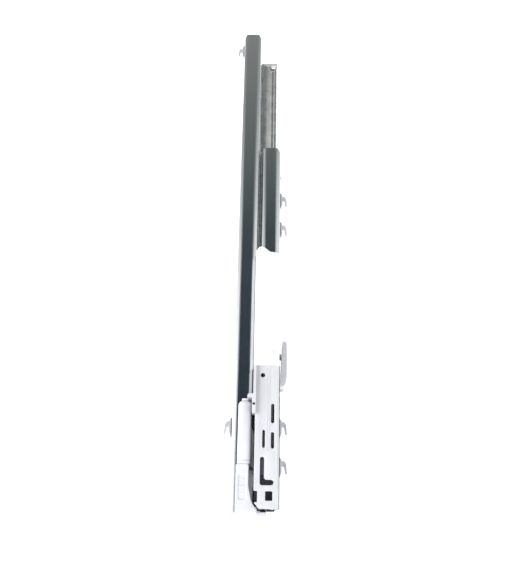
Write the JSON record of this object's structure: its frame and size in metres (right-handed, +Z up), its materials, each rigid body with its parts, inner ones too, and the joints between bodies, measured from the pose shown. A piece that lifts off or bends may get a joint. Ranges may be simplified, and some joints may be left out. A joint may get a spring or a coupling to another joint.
{
  "type": "cabinet drawer slide",
  "caption": "Full-extension ball-bearing drawer slide with cabinet, middle and drawer members, hook mounting, a press latch and a damped self-closing unit.",
  "frame": {"origin": "on the cabinet member's mounting face, midway between its two screw holes", "axes": "+X across the slide from the cabinet face towards the drawer face, +Y along the travel towards the drawer's opening direction, +Z up"},
  "size_m": [0.0388, 0.3588, 0.0572],
  "materials": {
    "zinc_steel": "satin",
    "middle_steel": "satin",
    "cage_steel": "satin",
    "polished_steel": "polished",
    "spring_steel": "satin",
    "white_plastic": "matte",
    "grey_plastic": "matte",
    "dark_plastic": "matte",
    "rubber": "matte"
  },
  "bodies": {
    "cabinet": {"cabinet_member": "zinc_steel", "rear_block": "white_plastic", "rear_block_pin": "polished_steel", "closing_bumpers": "rubber", "catch_bracket": "zinc_steel", "catch_post": "polished_steel", "damper_cylinder": "grey_plastic", "damper_cap": "white_plastic"},
    "cabinet_cage": {"cabinet_ball_cage": "cage_steel", "cabinet_balls": "polished_steel"},
    "middle": {"middle_cabinet_rail": "middle_steel", "middle_drawer_rail": "middle_steel", "middle_rivets": "middle_steel", "middle_front_bumper": "grey_plastic"},
    "drawer_cage": {"drawer_ball_cage": "cage_steel", "drawer_balls": "polished_steel"},
    "drawer": {"drawer_member": "zinc_steel", "closer_tray": "dark_plastic", "damper_striker": "grey_plastic", "tray_rivets": "polished_steel", "mechanism_cover": "grey_plastic", "spring_cover": "white_plastic", "left_spring": "spring_steel", "right_spring": "spring_steel", "spring_anchor": "dark_plastic", "latch_bracket": "zinc_steel", "latch_pin": "polished_steel", "latch_spring": "spring_steel"},
    "trigger": {"closer_trigger": "dark_plastic", "track_pin": "polished_steel"},
    "damper_rod": {"damper_rod": "polished_steel", "damper_piston": "dark_plastic", "rod_tip": "white_plastic"},
    "latch": {"lock_latch": "zinc_steel"}
  },
  "joints": [
    {"name": "middle_slide", "type": "slide", "parent": "cabinet", "child": "middle", "axis": [0, 1, 0], "range_m": [0, 0.1778]},
    {"name": "drawer_slide", "type": "slide", "parent": "middle", "child": "drawer", "axis": [0, 1, 0], "range_m": [0, 0.1778]},
    {"name": "cabinet_cage_roll", "type": "slide", "parent": "cabinet", "child": "cabinet_cage", "axis": [0, 1, 0], "range_m": [0, 0.0889]},
    {"name": "drawer_cage_roll", "type": "slide", "parent": "middle", "child": "drawer_cage", "axis": [0, 1, 0], "range_m": [0, 0.0889]},
    {"name": "damper_stroke", "type": "slide", "parent": "cabinet", "child": "damper_rod", "axis": [0, 1, 0], "range_m": [0, 0.01423]},
    {"name": "trigger_travel", "type": "slide", "parent": "drawer", "child": "trigger", "axis": [0, 1, 0], "range_m": [-0.013, 0], "stiffness_N_per_m": 300, "deforming": ["left_spring", "right_spring"]},
    {"name": "latch_press", "type": "hinge", "parent": "drawer", "child": "latch", "pos_m": [0.0312, -0.0983, 0], "axis": [0, 0, 1], "range_deg": [0, 5], "stiffness_Nm_per_rad": 0.6, "deforming": ["latch_spring"]}
  ],
  "couplings": [
    {"joint": "cabinet_cage_roll", "follows": "middle_slide", "ratio": 0.5},
    {"joint": "damper_stroke", "follows": "middle_slide", "ratio": 0.08},
    {"joint": "drawer_cage_roll", "follows": "drawer_slide", "ratio": 0.5}
  ]
}
